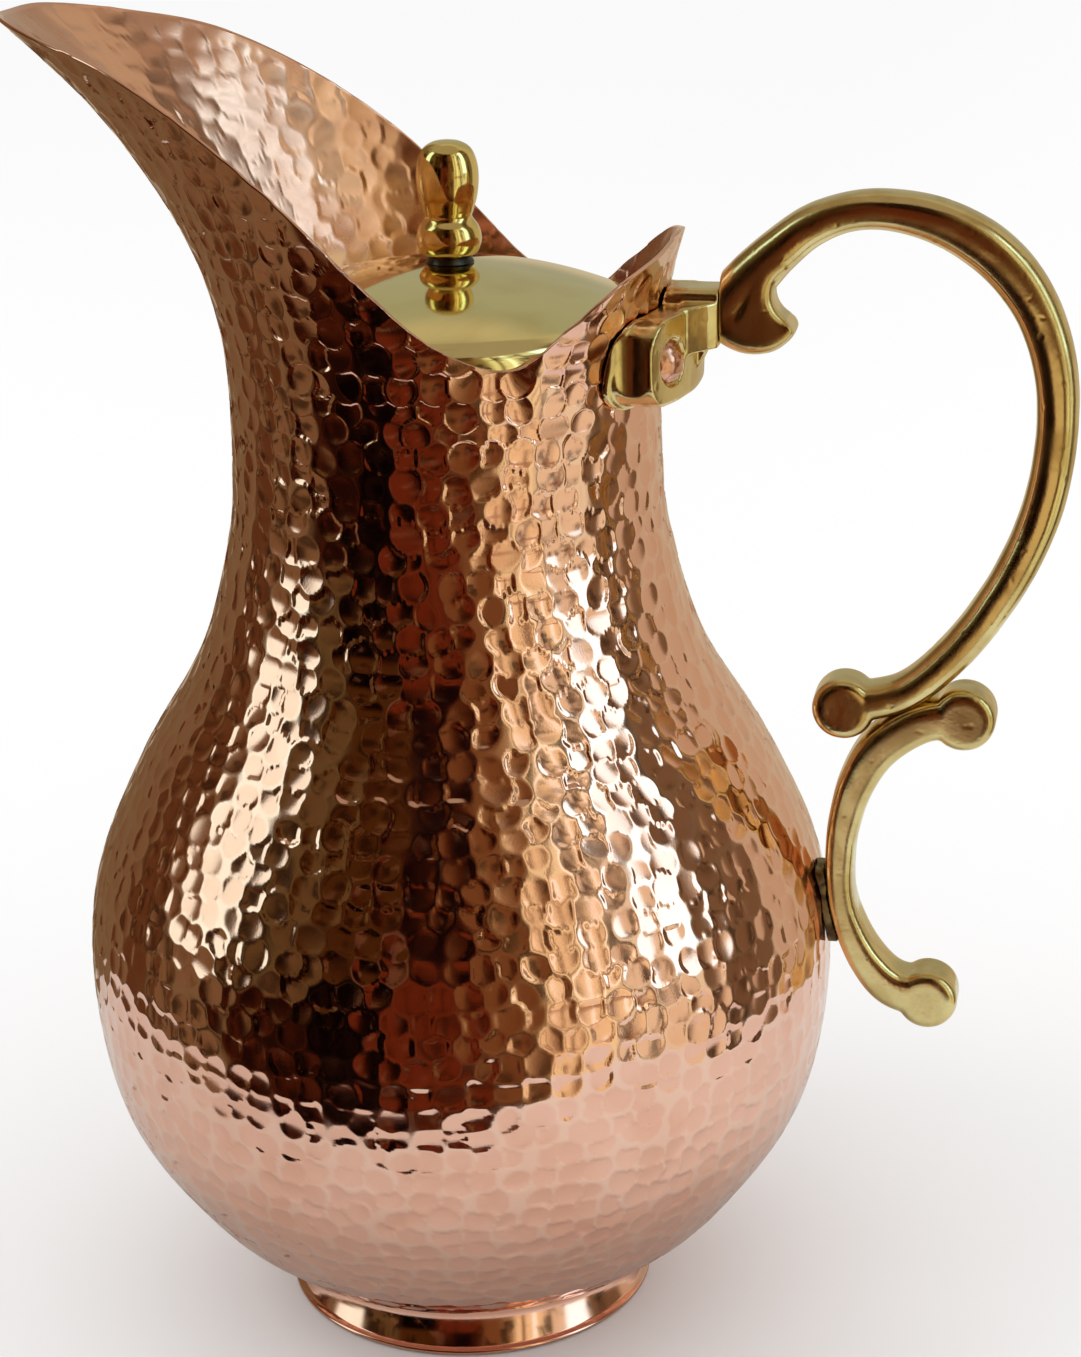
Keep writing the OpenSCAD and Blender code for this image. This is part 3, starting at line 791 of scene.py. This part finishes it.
def add_floor(name, outline, z, material):
    """Flat stage piece at that height from its (x, y) outline, in metres."""
    mesh = bpy.data.meshes.new(name)
    mesh.from_pydata([(x, y, z) for x, y in outline], [], [list(range(len(outline)))])
    mesh.materials.append(material)
    sheet = bpy.data.objects.new(name, mesh)
    bpy.context.scene.collection.objects.link(sheet)
    return sheet


def low_panel(name, seen_by, place, size, tint, strength):
    """Soft upright panel low in front of the jug, which only the pieces named in seen_by mirror."""
    pieces = bpy.data.collections.new(name)
    for piece in seen_by:
        pieces.objects.link(bpy.data.objects[piece])
    light = bpy.data.lights.new(name, "AREA")
    light.shape = "RECTANGLE"
    light.size, light.size_y = size
    light.color = tint
    light.energy = strength * math.pi * size[0] * size[1]
    panel = bpy.data.objects.new(name, light)
    panel.location = place
    panel.rotation_euler = (math.pi / 2, 0, 0)
    panel.visible_camera = False
    panel.light_linking.receiver_collection = pieces
    bpy.context.scene.collection.objects.link(panel)


# Edge of the table that the metal mirrors, as x and y in metres
TABLE_OUTLINE = [(-0.27, 0.06), (-0.26, -0.045), (-0.2, -0.12), (-0.15, -0.15), (-0.08, -0.17),
                 (0, -0.187), (0.08, -0.196), (0.18, -0.21), (0.26, -0.235), (0.26, 0.3), (0, 0.3),
                 (-0.07, 0.14), (-0.13, 0.11)]


def studio():
    """Pale floor, room and table that only the metal mirrors, one soft lamp and two low panels."""
    room()
    white = floor_material("pale_floor", colour(0.94, 0.94, 0.94), colour(0.96, 0.96, 0.96), 0.0)
    grey = floor_material("table_in_the_metal", colour(0.63, 0.66, 0.64), colour(0.80, 0.86, 0.85), 0.4)
    add_floor("floor", [(-6, -6), (6, -6), (6, 6), (-6, 6)], -0.0003, white).visible_glossy = False
    table = add_floor("table", TABLE_OUTLINE, -0.0001, grey)
    table.visible_camera = False
    table.visible_diffuse = False
    table.visible_shadow = False
    key = bpy.data.lights.new("key", "AREA")
    key.shape = "RECTANGLE"
    key.size, key.size_y = 0.8, 1.0
    key.energy = 4.0
    lamp = bpy.data.objects.new("key", key)
    lamp.location = (-1.2, -0.5, 1.4)
    lamp.rotation_euler = (Vector((0, 0, 0.12)) - lamp.location).to_track_quat("-Z", "Y").to_euler()
    lamp.visible_glossy = False
    bpy.context.scene.collection.objects.link(lamp)
    low_panel("pale_panel", ("cast_lower_scroll", "brazed_pad"),
              (0.03, -0.25, 0), (0.16, 0.1), (1, 0.98, 0.86), 0.6)
    low_panel("gold_panel", ("cast_upper_scroll",),
              (0.155, -0.25, 0.08), (0.12, 0.2), (1, 0.85, 0.5), 0.6)
    bpy.context.scene.view_settings.view_transform = "Standard"


def camera():
    """Long side of the frame is 36 mm of sensor. The small turns put the jug where the view has it."""
    azimuth, height, away = math.radians(13.785), math.radians(19.503), 0.6
    yaw, roll = math.radians(1.738), math.radians(-1.805)
    back = Vector((math.sin(azimuth) * math.cos(height), -math.cos(azimuth) * math.cos(height),
                   math.sin(height)))
    right = Vector((math.cos(azimuth), math.sin(azimuth), 0))
    data = bpy.data.cameras.new("camera")
    data.sensor_width = 36
    data.lens = 74.88
    data.clip_start, data.clip_end = 0.05, 20
    eye = bpy.data.objects.new("camera", data)
    bpy.context.scene.collection.objects.link(eye)
    look = Matrix((right, back.cross(right), back)).transposed()
    look = look @ Matrix.Rotation(-yaw, 3, "Y") @ Matrix.Rotation(roll, 3, "Z")
    eye.matrix_world = Matrix.Translation(Vector((0, 0, 0.14)) + back * away) @ look.to_4x4()
    bpy.context.scene.camera = eye


vessel()
foot()
upper_scroll()
lower_scroll()
rounded_from_cad("top_bracket", "cast_bracket", 0.3, 8, cast_brass, 0.1, 11.0)
rounded_from_cad("lower_pad", "brazed_pad", 0.3, 6, pad_brass, 0.25, 13.0)
rivets()
lid()
for node, material in (("lower_rivet", rivet_copper), ("knob_screw", turned_brass),
                       ("screw_washer", turned_brass)):
    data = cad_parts[node].data
    data.materials.clear()
    data.materials.append(material)
studio()
camera()
